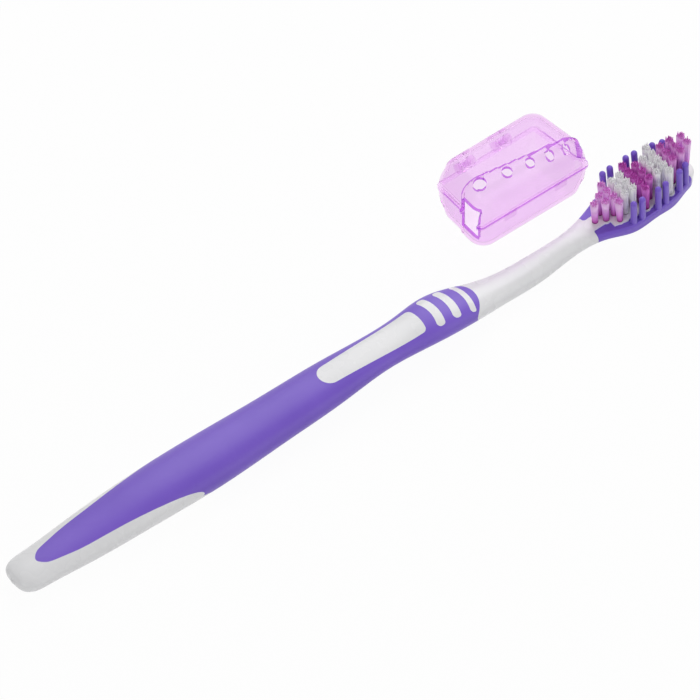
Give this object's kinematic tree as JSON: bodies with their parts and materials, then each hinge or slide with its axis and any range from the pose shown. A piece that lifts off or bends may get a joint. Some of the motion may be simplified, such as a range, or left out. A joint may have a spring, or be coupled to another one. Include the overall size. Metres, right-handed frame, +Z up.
{
  "type": "manual toothbrush",
  "caption": "Manual toothbrush with rubber-gripped handle, coloured bristle tufts, rubber side fingers and a separate clear hinged cap for its head.",
  "frame": {"origin": "on the table under the middle of the box round the brush and its cap", "axes": "+X along the brush from butt to head tip, +Y across towards the cap, +Z up, the way the bristles point"},
  "size_m": [0.19, 0.0372, 0.019],
  "materials": {
    "white_plastic": "glossy moulded",
    "grip_rubber": "satin",
    "head_rubber": "satin",
    "white_bristle": "fine filaments",
    "pink_bristle": "fine filaments, translucent",
    "anchor_metal": "plain",
    "clear_cap": "clear tinted"
  },
  "bodies": {
    "brush": {"core": "white_plastic", "handle_grip": "grip_rubber", "left_head_rim": "head_rubber", "right_head_rim": "head_rubber", "tuft_01_1": "pink_bristle", "tuft_02_1": "pink_bristle", "tuft_02_2": "pink_bristle", "tuft_03_1": "pink_bristle", "tuft_03_2": "pink_bristle", "tuft_03_3": "pink_bristle", "tuft_03_4": "pink_bristle", "tuft_04_1": "white_bristle", "tuft_04_2": "white_bristle", "tuft_04_3": "white_bristle", "tuft_05_1": "white_bristle", "tuft_05_2": "white_bristle", "tuft_05_3": "white_bristle", "tuft_06_1": "pink_bristle", "tuft_06_2": "pink_bristle", "tuft_06_3": "pink_bristle", "tuft_06_4": "pink_bristle", "tuft_06_5": "pink_bristle", "tuft_07_1": "pink_bristle", "tuft_07_2": "pink_bristle", "tuft_07_3": "pink_bristle", "tuft_08_1": "white_bristle", "tuft_08_2": "white_bristle", "tuft_08_3": "white_bristle", "tuft_09_1": "white_bristle", "tuft_09_2": "white_bristle", "tuft_09_3": "white_bristle", "tuft_09_4": "white_bristle", "tuft_09_5": "white_bristle", "tuft_10_1": "pink_bristle", "tuft_10_2": "pink_bristle", "tuft_10_3": "pink_bristle", "tuft_11_1": "pink_bristle", "tuft_11_2": "pink_bristle", "tuft_11_3": "pink_bristle", "tuft_12_1": "pink_bristle", "tuft_12_2": "pink_bristle", "tuft_anchors": "anchor_metal"},
    "cap_lower": {"cap_base": "clear_cap"},
    "cap_upper": {"cap_lid": "clear_cap"}
  },
  "joints": [
    {"name": "cap_lift", "type": "slide", "parent": "brush", "child": "cap_lower", "axis": [0, 0, 1], "range_m": [0, 0.06]},
    {"name": "lid_hinge", "type": "hinge", "parent": "cap_lower", "child": "cap_upper", "pos_m": [0.06, 0.01743, 0.0095], "axis": [-1, 0, 0], "range_deg": [0, 175]}
  ]
}
